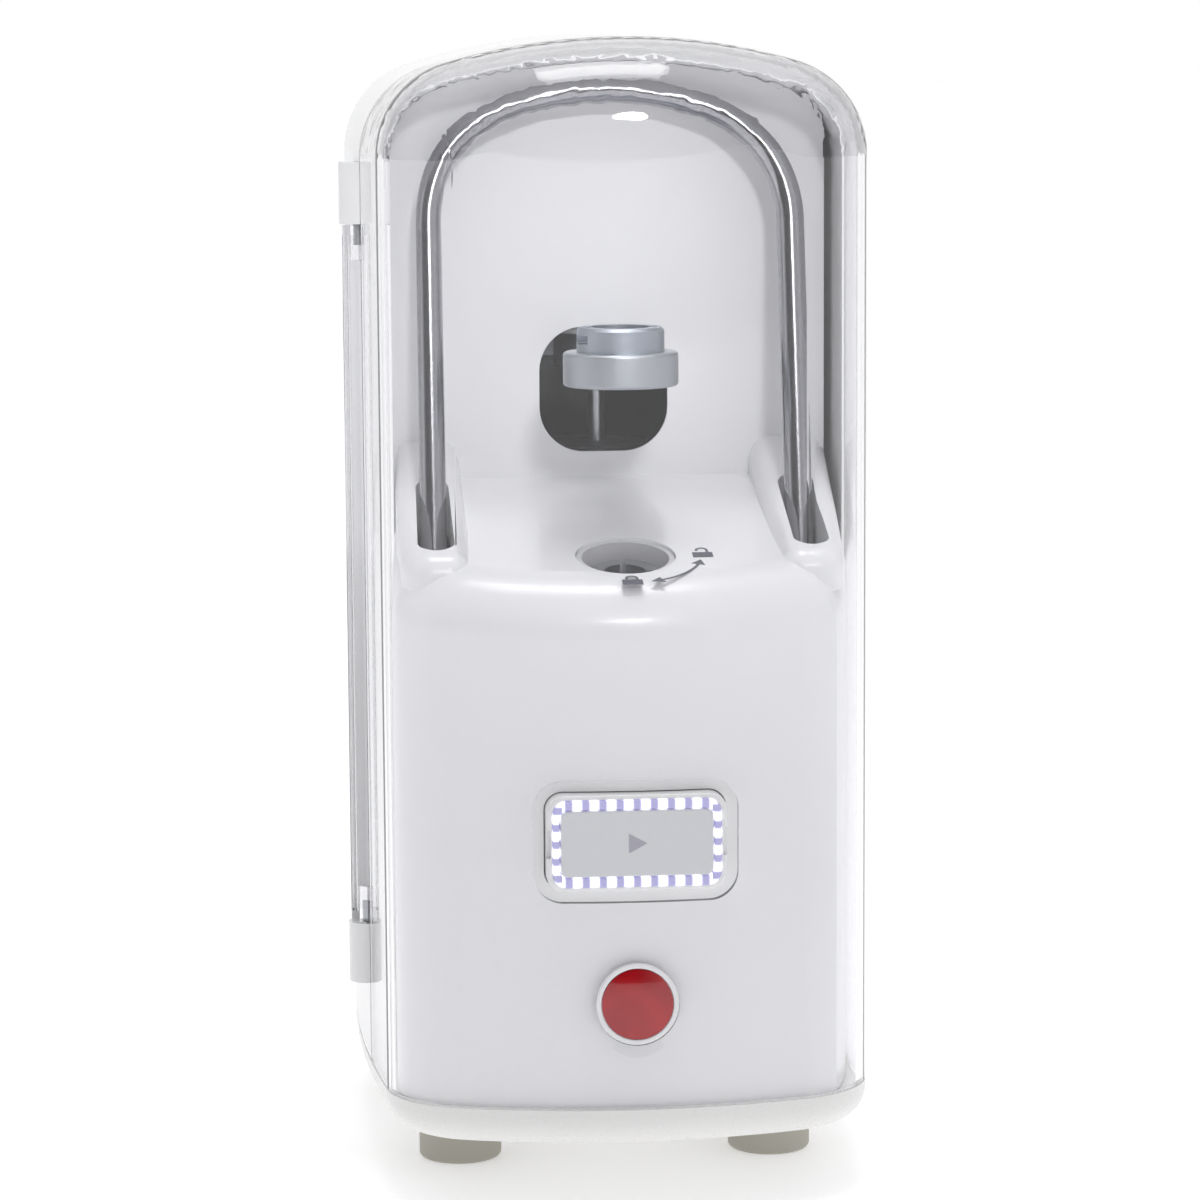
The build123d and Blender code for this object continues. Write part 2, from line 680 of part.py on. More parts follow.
with BuildPart() as plunger:
    with BuildSketch(deck_plane.offset(tip_w + 5)):
        Circle(plunger_r)
    extrude(amount=plunger_top - tip_w - 5)
    fillet(plunger.edges().group_by(Axis.Z)[-1], radius=1.2)
    with Locations(deck_plane * Location((0, 0, tip_w + 4.25))):
        Cylinder(2.5, 3.5)
    with Locations(deck_plane * Location((0, 0, tip_w + 2.5))):
        Sphere(2.5)
    with Locations(deck_plane * Location((0, 0, tip_w + 6.5))):
        Cylinder(8.5, 2)
plunger.part.label = "plunger"
export_step(plunger.part, "parts/plunger.step")

# Drive: can, end bell, rotor with flywheel, hung under a plate on four pillars
mount_h = 6.0
frame_x = 38.0
frame_y = 34.0
pillar_low = chassis_top + mount_h
with BuildPart() as rubber_mounts:
    with Locations((0, rotor_y, chassis_top)):
        with GridLocations(2 * frame_x, 2 * frame_y, 2, 2):
            Cylinder(7, mount_h, align=stand)
    fillet(rubber_mounts.edges().group_by(Axis.Z)[-1], radius=1.5)
rubber_mounts.part.label = "rubber_mounts"
export_step(rubber_mounts.part, "parts/rubber_mounts.step")
with BuildPart() as frame_pillars:
    with Locations((0, rotor_y, pillar_low)):
        with GridLocations(2 * frame_x, 2 * frame_y, 2, 2):
            Cylinder(4, frame_z - pillar_low, align=stand)
frame_pillars.part.label = "frame_pillars"
export_step(frame_pillars.part, "parts/frame_pillars.step")
with BuildPart() as frame_plate:
    with BuildSketch(Plane.XY.offset(frame_z)):
        with Locations((0, rotor_y)):
            RectangleRounded(2 * frame_x + 14, 2 * frame_y + 14, 7)
            Circle(8.05, mode=Mode.SUBTRACT)
            with GridLocations(52, 40, 2, 2):
                SlotOverall(14, 8, mode=Mode.SUBTRACT)
    extrude(amount=frame_t)
frame_plate.part.label = "frame_plate"
export_step(frame_plate.part, "parts/frame_plate.step")
with BuildPart() as frame_screws:
    with Locations((0, rotor_y, frame_z + frame_t)):
        with GridLocations(2 * frame_x, 2 * frame_y, 2, 2):
            Cylinder(3.8, 2.6, align=stand)
    fillet(frame_screws.edges().group_by(Axis.Z)[-1], radius=1.0)
frame_screws.part.label = "frame_screws"
export_step(frame_screws.part, "parts/frame_screws.step")
with BuildPart() as frame_bearing:
    with Locations((0, rotor_y, frame_z - 2)):
        Cylinder(8, 7, align=stand)
        Cylinder(shaft_r + run_fit, 7, align=stand, mode=Mode.SUBTRACT)
frame_bearing.part.label = "frame_bearing"
export_step(frame_bearing.part, "parts/frame_bearing.step")
with BuildPart() as motor_can:
    with Locations((0, rotor_y, motor_low)):
        Cylinder(motor_r, motor_high - motor_low, align=stand)
    fillet(motor_can.edges().group_by(Axis.Z)[-1], radius=3)
    with Locations((0, rotor_y, motor_high)):
        Cylinder(11, frame_z - 2 - motor_high, align=stand)
        with GridLocations(34, 34, 2, 2):
            Cylinder(3, frame_z - motor_high, align=stand)
    with Locations((0, rotor_y, motor_low + 3)):
        Cylinder(motor_r - 2, motor_high - motor_low - 6, align=stand, mode=Mode.SUBTRACT)
    with Locations((0, rotor_y, motor_low)):
        Cylinder(9, 3, align=stand, mode=Mode.SUBTRACT)
    with Locations((0, rotor_y, motor_high - 3)):
        Cylinder(shaft_r + 0.5, 20, align=stand, mode=Mode.SUBTRACT)
motor_can.part.label = "motor_can"
export_step(motor_can.part, "parts/motor_can.step")
with BuildPart() as end_bell:
    with Locations((0, rotor_y, motor_low - 8)):
        Cylinder(motor_r - 2, 8, align=stand)
    fillet(end_bell.edges().group_by(Axis.Z)[0], radius=2.5)
    with Locations((0, rotor_y, motor_low - 3)):
        Cylinder(shaft_r + run_fit, 20, mode=Mode.SUBTRACT)
    with Locations((0, rotor_y, motor_low - 6)):
        with PolarLocations(16, 8):
            Cylinder(3, 20, mode=Mode.SUBTRACT)
end_bell.part.label = "end_bell"
export_step(end_bell.part, "parts/end_bell.step")
with BuildPart() as rotor:
    with Locations((0, rotor_y, motor_low - 8)):
        Cylinder(shaft_r, arm_high + 4 - motor_low + 8, align=stand)
    with Locations((0, rotor_y, motor_low + 14)):
        Cylinder(motor_r - 4, 52, align=stand)
        with PolarLocations(motor_r - 4, 9):
            Cylinder(2, 52, align=stand, mode=Mode.SUBTRACT)
rotor.part.label = "rotor"
export_step(rotor.part, "parts/rotor.step")
with BuildPart() as flywheel:
    with Locations((0, rotor_y, flywheel_low)):
        Cylinder(flywheel_r, flywheel_t, align=stand)
    chamfer(flywheel.edges().group_by(Axis.Z)[-1], length=0.8)
    with Locations((0, rotor_y, flywheel_low - 8)):
        Cylinder(6.5, 8, align=stand)
    with Locations((0, rotor_y + 10.5, flywheel_low)):
        Cylinder(4, 30, mode=Mode.SUBTRACT)
    with Locations((0, rotor_y, flywheel_low)):
        Cylinder(shaft_r + 0.02, 40, mode=Mode.SUBTRACT)
flywheel.part.label = "flywheel"
export_step(flywheel.part, "parts/flywheel.step")

# Mixing arm: hub on its bearing, bar through the port, saddle against the collar
arm_mid = (arm_low + arm_high) / 2
arm_t = arm_high - arm_low
with BuildPart() as arm_bearing:
    with Locations((0, rotor_y, arm_low)):
        Cylinder(8.5, arm_t, align=stand)
        Cylinder(shaft_r + run_fit, arm_t, align=stand, mode=Mode.SUBTRACT)
arm_bearing.part.label = "arm_bearing"
export_step(arm_bearing.part, "parts/arm_bearing.step")
with BuildPart() as mixing_arm:
    with BuildSketch(Plane.XY.offset(arm_low)):
        with Locations((0, rotor_y)):
            Circle(12.5)
        with Locations((0, (collar_y + rotor_y) / 2)):
            Rectangle(2 * arm_half, rotor_y - collar_y)
        with Locations((0, rotor_y + tail_len / 2)):
            Rectangle(2 * arm_half - 2, tail_len)
        with Locations((0, rotor_y + tail_len)):
            RectangleRounded(2 * tail_half, 7, 2)
        with Locations((0, rotor_y)):
            Circle(8.55, mode=Mode.SUBTRACT)
        with Locations((0, collar_y)):
            Circle(collar_r + 0.05, mode=Mode.SUBTRACT)
    extrude(amount=arm_t)
    fillet(mixing_arm.edges().filter_by(Axis.Y), radius=1.2)
    with Locations((0, wall_y - 12, arm_mid)):
        Cylinder(1.6, 30, mode=Mode.SUBTRACT)
mixing_arm.part.label = "mixing_arm"
export_step(mixing_arm.part, "parts/mixing_arm.step")
screw_turn = 150
with BuildPart() as collar:
    with Locations((0, collar_y, arm_low)):
        Cylinder(collar_r, arm_t, align=stand)
    fillet(collar.edges().filter_by(GeomType.CIRCLE), radius=1.0)
    with Locations((0, collar_y, arm_low)):
        Cylinder(sleeve_r + run_fit, 40, mode=Mode.SUBTRACT)
        Cylinder(sleeve_r + sleeve_lip + seat_gap, 2 * (sleeve_lip + seat_gap), mode=Mode.SUBTRACT)
    with Locations(Location((0, collar_y, arm_mid), (0, 0, screw_turn))):
        with Locations((collar_r, 0, 0)):
            Cylinder(1.7, 9, rotation=(0, 90, 0), mode=Mode.SUBTRACT)
collar.part.label = "collar"
export_step(collar.part, "parts/collar.step")
with BuildPart() as collar_screw:
    with Locations(Location((0, collar_y, arm_mid), (0, 0, screw_turn))):
        with Locations((collar_r - 1.95, 0, 0)):
            Cylinder(1.6, 3.4, rotation=(0, 90, 0))
            Cylinder(0.8, 10, rotation=(0, 90, 0), mode=Mode.SUBTRACT)
collar_screw.part.label = "collar_screw"
export_step(collar_screw.part, "parts/collar_screw.step")
with BuildPart() as sleeve:
    with Locations((0, collar_y, sleeve_low)):
        Cylinder(sleeve_r, sleeve_top - sleeve_low, align=stand)
        Cylinder(sleeve_r + sleeve_lip, sleeve_lip, align=stand)
    chamfer(sleeve.edges().group_by(Axis.Z)[-1], length=0.8)
    with Locations((0, collar_y, sleeve_low + sleeve_floor)):
        Cylinder(capsule_r, 40, align=stand, mode=Mode.SUBTRACT)
    with Locations((0, collar_y, sleeve_low)):
        Cylinder(3.5, 10, mode=Mode.SUBTRACT)
    with Locations((0, collar_y, sleeve_top)):
        Box(40, 4.4, 8.6, mode=Mode.SUBTRACT)
    with Locations((0, collar_y, sleeve_top - 3.4)):
        with PolarLocations(sleeve_r - 0.9, 2, start_angle=22):
            Box(5, 6, 2.6, mode=Mode.SUBTRACT)
sleeve.part.label = "sleeve"
export_step(sleeve.part, "parts/sleeve.step")

# Buffers on posts that stop the arm's tail at each side
buffer_y = rotor_y + tail_len
with BuildPart() as buffer_posts:
    with Locations((0, buffer_y, frame_z + frame_t)):
        with GridLocations(2 * buffer_x, 1, 2, 1):
            Cylinder(2, arm_high + 2 - frame_z - frame_t, align=stand)
buffer_posts.part.label = "buffer_posts"
export_step(buffer_posts.part, "parts/buffer_posts.step")
with BuildPart() as arm_buffers:
    with Locations((0, buffer_y, arm_low)):
        with GridLocations(2 * buffer_x, 1, 2, 1):
            Cylinder(buffer_r, arm_t, align=stand)
            Cylinder(2.05, arm_t, align=stand, mode=Mode.SUBTRACT)
arm_buffers.part.label = "arm_buffers"
export_step(arm_buffers.part, "parts/arm_buffers.step")

# Power board on the chassis, behind the drive
power_y = back_y - 23.5
power_w = 96.0
power_h = 66.0
with BuildPart() as power_board:
    with Locations((-6, power_y, chassis_top + seat_gap)):
        Box(power_w, 1.6, power_h, align=stand)
power_board.part.label = "power_board"
export_step(power_board.part, "parts/power_board.step")

# Inlet in the back wall: flange, shroud and three blades
blade_spots = [(inlet_x - 7, rear_z - 2), (inlet_x + 7, rear_z - 2), (inlet_x, rear_z + 2)]
with BuildPart() as mains_inlet:
    with BuildSketch(back_plane):
        with Locations((inlet_x, rear_z)):
            RectangleRounded(inlet_w + 7, inlet_h + 7, 3)
    extrude(amount=-1.6)
    with BuildSketch(back_plane):
        with Locations((inlet_x, rear_z)):
            Rectangle(inlet_w, inlet_h)
    extrude(amount=19)
    with BuildSketch(back_plane.offset(-2)):
        with Locations((inlet_x, rear_z)):
            Polygon(
                (-12.2, -8.2), (12.2, -8.2), (12.2, 3.5), (7.5, 8.2), (-7.5, 8.2), (-12.2, 3.5),
                align=None,
            )
    extrude(amount=18, mode=Mode.SUBTRACT)
    for blade_x, blade_z in blade_spots:
        with Locations((blade_x, back_y - 14, blade_z)):
            Box(2.04, 12, 4.04, mode=Mode.SUBTRACT)
mains_inlet.part.label = "mains_inlet"
export_step(mains_inlet.part, "parts/mains_inlet.step")
with BuildPart() as inlet_blades:
    for blade_x, blade_z in blade_spots:
        with Locations((blade_x, back_y - 13, blade_z)):
            Box(2, 15, 4)
inlet_blades.part.label = "inlet_blades"
export_step(inlet_blades.part, "parts/inlet_blades.step")

# Power switch: bezel in the back wall and a rocker on a cross pin
rocker_r = 11.5
with BuildPart() as switch_bezel:
    with BuildSketch(back_plane):
        with Locations((rocker_x, rear_z)):
            RectangleRounded(rocker_w + 9, rocker_h + 9, 2.5)
            Rectangle(rocker_w + 0.8, rocker_h + 2.6, mode=Mode.SUBTRACT)
    extrude(amount=-1.4)
    with BuildSketch(back_plane):
        with Locations((rocker_x, rear_z)):
            Rectangle(rocker_w + 6, rocker_h + 6)
            Rectangle(rocker_w + 0.8, rocker_h + 2.6, mode=Mode.SUBTRACT)
    extrude(amount=14)
    with BuildSketch(back_plane.offset(14)):
        with Locations((rocker_x, rear_z)):
            Rectangle(rocker_w + 6, rocker_h + 6)
    extrude(amount=1.6)
switch_bezel.part.label = "switch_bezel"
export_step(switch_bezel.part, "parts/switch_bezel.step")
rocker_pin_y = back_y - 4.0
with BuildPart() as power_rocker:
    with Locations((rocker_x, rocker_pin_y, rear_z)):
        Cylinder(rocker_h / 2 + 0.4, rocker_w, rotation=(0, 90, 0))
    with Locations((rocker_x, rocker_pin_y + 14.0, rear_z)):
        Box(40, 20, 40, mode=Mode.SUBTRACT)
    with Locations((rocker_x, rocker_pin_y - 14.0, rear_z)):
        Box(40, 20, 40, mode=Mode.SUBTRACT)
power_rocker.part.label = "power_rocker"
export_step(power_rocker.part, "parts/power_rocker.step")
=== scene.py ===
import bpy
import bmesh
import math
from mathutils import Matrix, Vector


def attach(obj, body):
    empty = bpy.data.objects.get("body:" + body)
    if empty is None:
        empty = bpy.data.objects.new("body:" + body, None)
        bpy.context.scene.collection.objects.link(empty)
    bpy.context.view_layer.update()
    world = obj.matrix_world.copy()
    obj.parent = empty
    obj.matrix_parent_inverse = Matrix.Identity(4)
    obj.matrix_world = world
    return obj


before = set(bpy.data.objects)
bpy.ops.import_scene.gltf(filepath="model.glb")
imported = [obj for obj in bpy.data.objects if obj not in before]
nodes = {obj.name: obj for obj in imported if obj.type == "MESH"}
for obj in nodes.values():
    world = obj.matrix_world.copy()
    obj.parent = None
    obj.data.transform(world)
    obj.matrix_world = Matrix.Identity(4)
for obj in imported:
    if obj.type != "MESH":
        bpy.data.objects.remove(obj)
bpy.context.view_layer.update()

FRONT = -0.0925
DECK_TILT = math.radians(13.8)
HOLE = Vector((0.0, -0.0635, 0.1815))
DECK_X = Vector((1, 0, 0))
DECK_Y = Vector((0, math.cos(DECK_TILT), math.sin(DECK_TILT)))
DECK_N = Vector((0, -math.sin(DECK_TILT), math.cos(DECK_TILT)))
BUTTON_Z = 0.1055
WALL = 0.0

# Materials

def new_material(name):
    m = bpy.data.materials.new(name)
    m.use_nodes = True
    tree = m.node_tree
    bsdf = tree.nodes["Principled BSDF"]
    return m, tree, bsdf


def node(tree, kind, **values):
    n = tree.nodes.new(kind)
    for key, value in values.items():
        if key in n.inputs:
            n.inputs[key].default_value = value
        else:
            setattr(n, key, value)
    return n


def coords(tree, scale=(1, 1, 1)):
    tex = node(tree, "ShaderNodeTexCoord")
    mapping = node(tree, "ShaderNodeMapping")
    mapping.inputs["Scale"].default_value = scale
    tree.links.new(tex.outputs["Object"], mapping.inputs["Vector"])
    return mapping.outputs["Vector"]


def noise(tree, vector, scale, detail=3.0, rough=0.5):
    n = node(tree, "ShaderNodeTexNoise", Scale=scale, Detail=detail, Roughness=rough)
    tree.links.new(vector, n.inputs["Vector"])
    return n.outputs["Fac"]


def ramp(tree, source, stops):
    n = node(tree, "ShaderNodeValToRGB")
    e = n.color_ramp.elements
    e[0].position, e[0].color = stops[0]
    e[1].position, e[1].color = stops[-1]
    for position, colour in stops[1:-1]:
        s = e.new(position)
        s.color = colour
    tree.links.new(source, n.inputs["Fac"])
    return n.outputs["Color"]


def spread(tree, source, low, high):
    n = node(tree, "ShaderNodeMapRange")
    n.inputs["To Min"].default_value = low
    n.inputs["To Max"].default_value = high
    tree.links.new(source, n.inputs["Value"])
    return n.outputs["Result"]


def bump(tree, bsdf, source, depth, strength=1.0):
    n = node(tree, "ShaderNodeBump", Strength=strength, Distance=depth)
    tree.links.new(source, n.inputs["Height"])
    tree.links.new(n.outputs["Normal"], bsdf.inputs["Normal"])
    return n


def rgba(colour, factor=1.0):
    return (*(channel * factor for channel in colour), 1.0)


def plastic(name, colour, rough, grain=900, depth=0.00001, coat=0.0, vary=0.03, metallic=0.0):
    m, tree, bsdf = new_material(name)
    v = coords(tree)
    cloud = noise(tree, v, 18, 4)
    fine = noise(tree, v, grain, 2)
    tree.links.new(
        ramp(tree, cloud, [(0.3, rgba(colour, 1 - vary)), (0.7, rgba(colour, 1 + vary / 2))]),
        bsdf.inputs["Base Color"],
    )
    tree.links.new(spread(tree, fine, rough * 0.85, rough * 1.2), bsdf.inputs["Roughness"])
    bsdf.inputs["Metallic"].default_value = metallic
    bsdf.inputs["Coat Weight"].default_value = coat
    bsdf.inputs["Coat Roughness"].default_value = 0.08
    bump(tree, bsdf, fine, depth, 0.6)
    return m


def metal(name, colour, rough, stretch=(1, 1, 1), scale=700, depth=0.000008, vary=0.12):
    m, tree, bsdf = new_material(name)
    v = coords(tree, stretch)
    grain = noise(tree, v, scale, 4, 0.6)
    wide = noise(tree, coords(tree), 30, 3)
    tree.links.new(
        ramp(tree, grain, [(0.25, rgba(colour, 1 - vary)), (0.75, rgba(colour, 1 + vary / 3))]),
        bsdf.inputs["Base Color"],
    )
    mix = node(tree, "ShaderNodeMath", operation="ADD")
    tree.links.new(spread(tree, grain, rough * 0.7, rough * 1.1), mix.inputs[0])
    tree.links.new(spread(tree, wide, 0.0, rough * 0.3), mix.inputs[1])
    tree.links.new(mix.outputs[0], bsdf.inputs["Roughness"])
    bsdf.inputs["Metallic"].default_value = 1.0
    bump(tree, bsdf, grain, depth, 0.8)
    return m


FINE_GRAIN = 0.000005

shell = plastic(
    "shell_white", (0.86, 0.86, 0.875), 0.24, grain=1400, depth=FINE_GRAIN, coat=0.3, vary=0.015
)
tray_white = plastic(
    "tray_white", (0.87, 0.865, 0.85), 0.28, grain=1400, depth=FINE_GRAIN, coat=0.2, vary=0.015
)
grey = plastic("pale_grey_plastic", (0.62, 0.62, 0.64), 0.38)
black = plastic("black_plastic", (0.012, 0.012, 0.013), 0.45, grain=1800, depth=0.00002)
paint = plastic("black_enamel", (0.012, 0.012, 0.013), 0.4)
board = plastic("board_green", (0.02, 0.11, 0.05), 0.35, grain=600)
foot_rubber = plastic(
    "foot_rubber", (0.50, 0.485, 0.42), 0.62, grain=2600, depth=0.00003, vary=0.07
)
mount_rubber = plastic("mount_rubber", (0.02, 0.02, 0.02), 0.7, grain=2600, depth=0.00003)
panel = plastic(
    "button_panel", (0.72, 0.73, 0.76), 0.34, grain=2600, depth=0.000004, coat=0.15, vary=0.01
)
enamel = plastic("rim_enamel", (0.88, 0.88, 0.9), 0.2, coat=0.5)
steel = metal("ground_steel", (0.50, 0.51, 0.53), 0.30)
dark_steel = metal("blued_steel_and_painted_shade", (0.10, 0.105, 0.12), 0.36, scale=900)
plated = metal("plated_sheet", (0.55, 0.56, 0.57), 0.38, scale=90)
alu = metal("satin_aluminium", (0.47, 0.49, 0.52), 0.42, scale=1500, depth=0.000012, vary=0.10)
sleeve_metal = metal(
    "turned_sleeve", (0.40, 0.43, 0.48), 0.38, stretch=(1, 1, 14), scale=800, vary=0.10
)
brass = metal("plated_brass", (0.72, 0.6, 0.32), 0.28)
tube = metal(
    "drawn_tube", (0.46, 0.46, 0.48), 0.15, stretch=(26, 26, 1.0), scale=160, depth=0.00002, vary=0.30
)


def painted_shade_within(name, colour, near_y, far_y):
    """White plastic with painted shade: near black where only the port gives a sight of it."""
    m = plastic(name, colour, 0.24, grain=1400, depth=FINE_GRAIN, coat=0.3, vary=0.015)
    tree = m.node_tree
    bsdf = tree.nodes["Principled BSDF"]
    white = bsdf.inputs["Base Color"].links[0].from_socket
    split = node(tree, "ShaderNodeSeparateXYZ")
    tree.links.new(node(tree, "ShaderNodeTexCoord").outputs["Object"], split.inputs["Vector"])

    def step(axis, operation, limit, absolute=False):
        source = split.outputs[axis]
        if absolute:
            size = node(tree, "ShaderNodeMath", operation="ABSOLUTE")
            tree.links.new(source, size.inputs[0])
            source = size.outputs[0]
        test = node(tree, "ShaderNodeMath", operation=operation)
        test.inputs[1].default_value = limit
        tree.links.new(source, test.inputs[0])
        return test.outputs[0]

    def both(first, second):
        product = node(tree, "ShaderNodeMath", operation="MULTIPLY")
        tree.links.new(first, product.inputs[0])
        tree.links.new(second, product.inputs[1])
        return product.outputs[0]

    painted_shade_mask = both(
        both(step("X", "LESS_THAN", 0.045, True), step("Y", "LESS_THAN", far_y)),
        both(step("Z", "LESS_THAN", 0.285), step("Y", "GREATER_THAN", near_y)),
    )
    # Painted shade: inside the mask the white base colour turns near black
    mix = node(tree, "ShaderNodeMix", data_type="RGBA")
    tree.links.new(painted_shade_mask, mix.inputs["Factor"])
    tree.links.new(white, mix.inputs[6])
    mix.inputs[7].default_value = (0.004, 0.004, 0.005, 1)
    tree.links.new(mix.outputs[2], bsdf.inputs["Base Color"])
    return m


def dome_material():
    m, tree, bsdf = new_material("badge_red")
    v = coords(tree)
    cloud = noise(tree, v, 120, 3)
    tree.links.new(
        ramp(tree, cloud, [(0.3, (0.36, 0.003, 0.008, 1)), (0.7, (0.46, 0.006, 0.012, 1))]),
        bsdf.inputs["Base Color"],
    )
    bsdf.inputs["Roughness"].default_value = 0.16
    bsdf.inputs["Coat Weight"].default_value = 0.8
    bsdf.inputs["Coat Roughness"].default_value = 0.04
    bump(tree, bsdf, cloud, 0.00002, 0.4)
    return m


def door_material():
    m, tree, bsdf = new_material("clear_acrylic")
    v = coords(tree)
    wave = noise(tree, v, 14, 2)
    fine = noise(tree, v, 60, 2)
    bsdf.inputs["Base Color"].default_value = (0.985, 0.985, 1.0, 1)
    tree.links.new(spread(tree, fine, 0.0, 0.03), bsdf.inputs["Roughness"])
    bsdf.inputs["Transmission Weight"].default_value = 1.0
    bsdf.inputs["IOR"].default_value = 1.49
    bump(tree, bsdf, wave, 0.00001, 0.1)
    bsdf.inputs["Specular IOR Level"].default_value = 0.15

    # Lamps and scattered light reach what stands behind the door
    path = node(tree, "ShaderNodeLightPath")
    clear = node(tree, "ShaderNodeBsdfTransparent")
    surface = bsdf.outputs[0]
    for kind in ("Is Shadow Ray", "Is Diffuse Ray"):
        mix = node(tree, "ShaderNodeMixShader")
        tree.links.new(path.outputs[kind], mix.inputs[0])
        tree.links.new(surface, mix.inputs[1])
        tree.links.new(clear.outputs[0], mix.inputs[2])
        surface = mix.outputs[0]
    tree.links.new(surface, tree.nodes["Material Output"].inputs["Surface"])
    return m


LED_PITCH = 0.00472
FRAME_SIDE = 0.0207


def light_material():
    """Dashes of white light with lavender gaps: across in the long bars, upward in the short ones."""
    m, tree, bsdf = new_material("lit_frame")
    split = node(tree, "ShaderNodeSeparateXYZ")
    tree.links.new(node(tree, "ShaderNodeTexCoord").outputs["Object"], split.inputs["Vector"])

    def math_node(operation, first, second=None):
        n = node(tree, "ShaderNodeMath", operation=operation)
        for socket, value in ((0, first), (1, second)):
            if isinstance(value, float):
                n.inputs[socket].default_value = value
            elif value is not None:
                tree.links.new(value, n.inputs[socket])
        return n.outputs[0]

    def dashes(source, offset):
        phase = math_node("MULTIPLY", math_node("ADD", source, offset), math.tau / LED_PITCH)
        level = spread(tree, math_node("COSINE", phase), 0.0, 1.0)
        level.node.inputs["From Min"].default_value = -0.55
        level.node.inputs["From Max"].default_value = 0.45
        return level

    across = dashes(split.outputs["X"], LED_PITCH / 2)
    upward = dashes(split.outputs["Z"], LED_PITCH / 2 - BUTTON_Z)
    side = math_node("GREATER_THAN", math_node("ABSOLUTE", split.outputs["X"]), FRAME_SIDE)
    mix = node(tree, "ShaderNodeMix", data_type="FLOAT")
    tree.links.new(side, mix.inputs["Factor"])
    tree.links.new(across, mix.inputs[2])
    tree.links.new(upward, mix.inputs[3])
    light = mix.outputs[0]
    tree.links.new(
        ramp(tree, light, [(0.0, (0.46, 0.44, 0.78, 1)), (0.5, (0.84, 0.83, 1.0, 1)), (0.9, (1, 1, 1, 1))]),
        bsdf.inputs["Emission Color"],
    )
    tree.links.new(spread(tree, light, 0.45, 1.5), bsdf.inputs["Emission Strength"])
    bsdf.inputs["Base Color"].default_value = (0.30, 0.29, 0.45, 1)
    bsdf.inputs["Roughness"].default_value = 0.3
    return m


badge_red = dome_material()
acrylic = door_material()
glow = light_material()
# The cover and liner are white plastic with painted shade: near black behind the port, where the inside
# lies in shadow
cover_white = painted_shade_within("shell_white_dark_within", (0.88, 0.88, 0.89), 0.06, 0.0912)
liner = painted_shade_within("liner_white", (0.87, 0.87, 0.885), WALL + 0.0012, 0.0912)

finish = {
    "base_tray": tray_white,
    "rear_cover": cover_white,
    "recess_liner": liner,
    "button_block": shell,
    "socket_cup": grey,
    "lift_cam": grey,
    "start_button": panel,
    "light_frame": glow,
    "door": acrylic,
    "badge_ring": enamel,
    "badge_dome": badge_red,
    "lever_hoop": tube,
    "collar": alu,
    "mixing_arm": alu,
    "sleeve": sleeve_metal,
    "control_board": board,
    "power_board": board,
    "push_switch": black,
    "board_posts": black,
    "end_bell": black,
    "mains_inlet": black,
    "switch_bezel": black,
    "power_rocker": black,
    "motor_can": paint,
    "rubber_mounts": mount_rubber,
    "arm_buffers": mount_rubber,
    "inlet_blades": brass,
    "chassis_plate": plated,
    "frame_plate": paint,
    "axle_bracket_left": plated,
    "axle_bracket_right": plated,
    # Painted shade: the flywheel takes this dark steel in place of its own ground steel, so the cavity
    # behind the port reads black
    "flywheel": dark_steel,
    "frame_screws": dark_steel,
    "frame_pillars": dark_steel,
    "buffer_posts": dark_steel,
}
for foot in ("foot_front_left", "foot_front_right", "foot_rear_left", "foot_rear_right"):
    finish[foot] = foot_rubber
for name, obj in nodes.items():
    obj.data.materials.clear()
    obj.data.materials.append(finish.get(name, steel))

# Marks

ink = plastic("symbol_ink", (0.10, 0.10, 0.13), 0.5)
silver_ink = plastic("silver_ink", (0.42, 0.41, 0.47), 0.3, metallic=0.4)


def flat_shape(name, outline, holes, place, thick, material, body):
    """A thin plate from an outline with holes, both lists of (x, y) in metres."""
    bm = bmesh.new()
    edges = []
    for loop in [outline, *holes]:
        vs = [bm.verts.new((x, y, 0)) for x, y in loop]
        edges += [bm.edges.new((vs[i], vs[(i + 1) % len(vs)])) for i in range(len(vs))]
    bmesh.ops.triangle_fill(bm, use_beauty=True, use_dissolve=False, edges=edges)
    bmesh.ops.recalc_face_normals(bm, faces=bm.faces)
    out = bmesh.ops.extrude_face_region(bm, geom=list(bm.faces))
    for v in out["geom"]:
        if isinstance(v, bmesh.types.BMVert):
            v.co.z += thick
    bmesh.ops.recalc_face_normals(bm, faces=bm.faces)
    bm.transform(place)
    mesh = bpy.data.meshes.new(name)
    bm.to_mesh(mesh)
    bm.free()
    obj = bpy.data.objects.new(name, mesh)
    bpy.context.scene.collection.objects.link(obj)
    mesh.materials.append(material)
    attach(obj, body)
    return obj


def arc(cx, cy, r, a0, a1, n):
    return [
        (
            cx + r * math.cos(math.radians(a0 + (a1 - a0) * i / n)),
            cy + r * math.sin(math.radians(a0 + (a1 - a0) * i / n)),
        )
        for i in range(n + 1)
    ]


def deck_place(x, y, scale=1.0):
    origin = HOLE + DECK_X * x + DECK_Y * y + DECK_N * 0.00002
    basis = Matrix((DECK_X, DECK_Y, DECK_N)).transposed().to_4x4()
    return Matrix.Translation(origin) @ basis @ Matrix.Scale(scale, 4)


MM = 0.001
INK_T = 0.06 * MM
MARK_R = 21.0 * MM


def deck_mark(name, outline, place):
    flat_shape(name, outline, [], place, INK_T, ink, "housing")


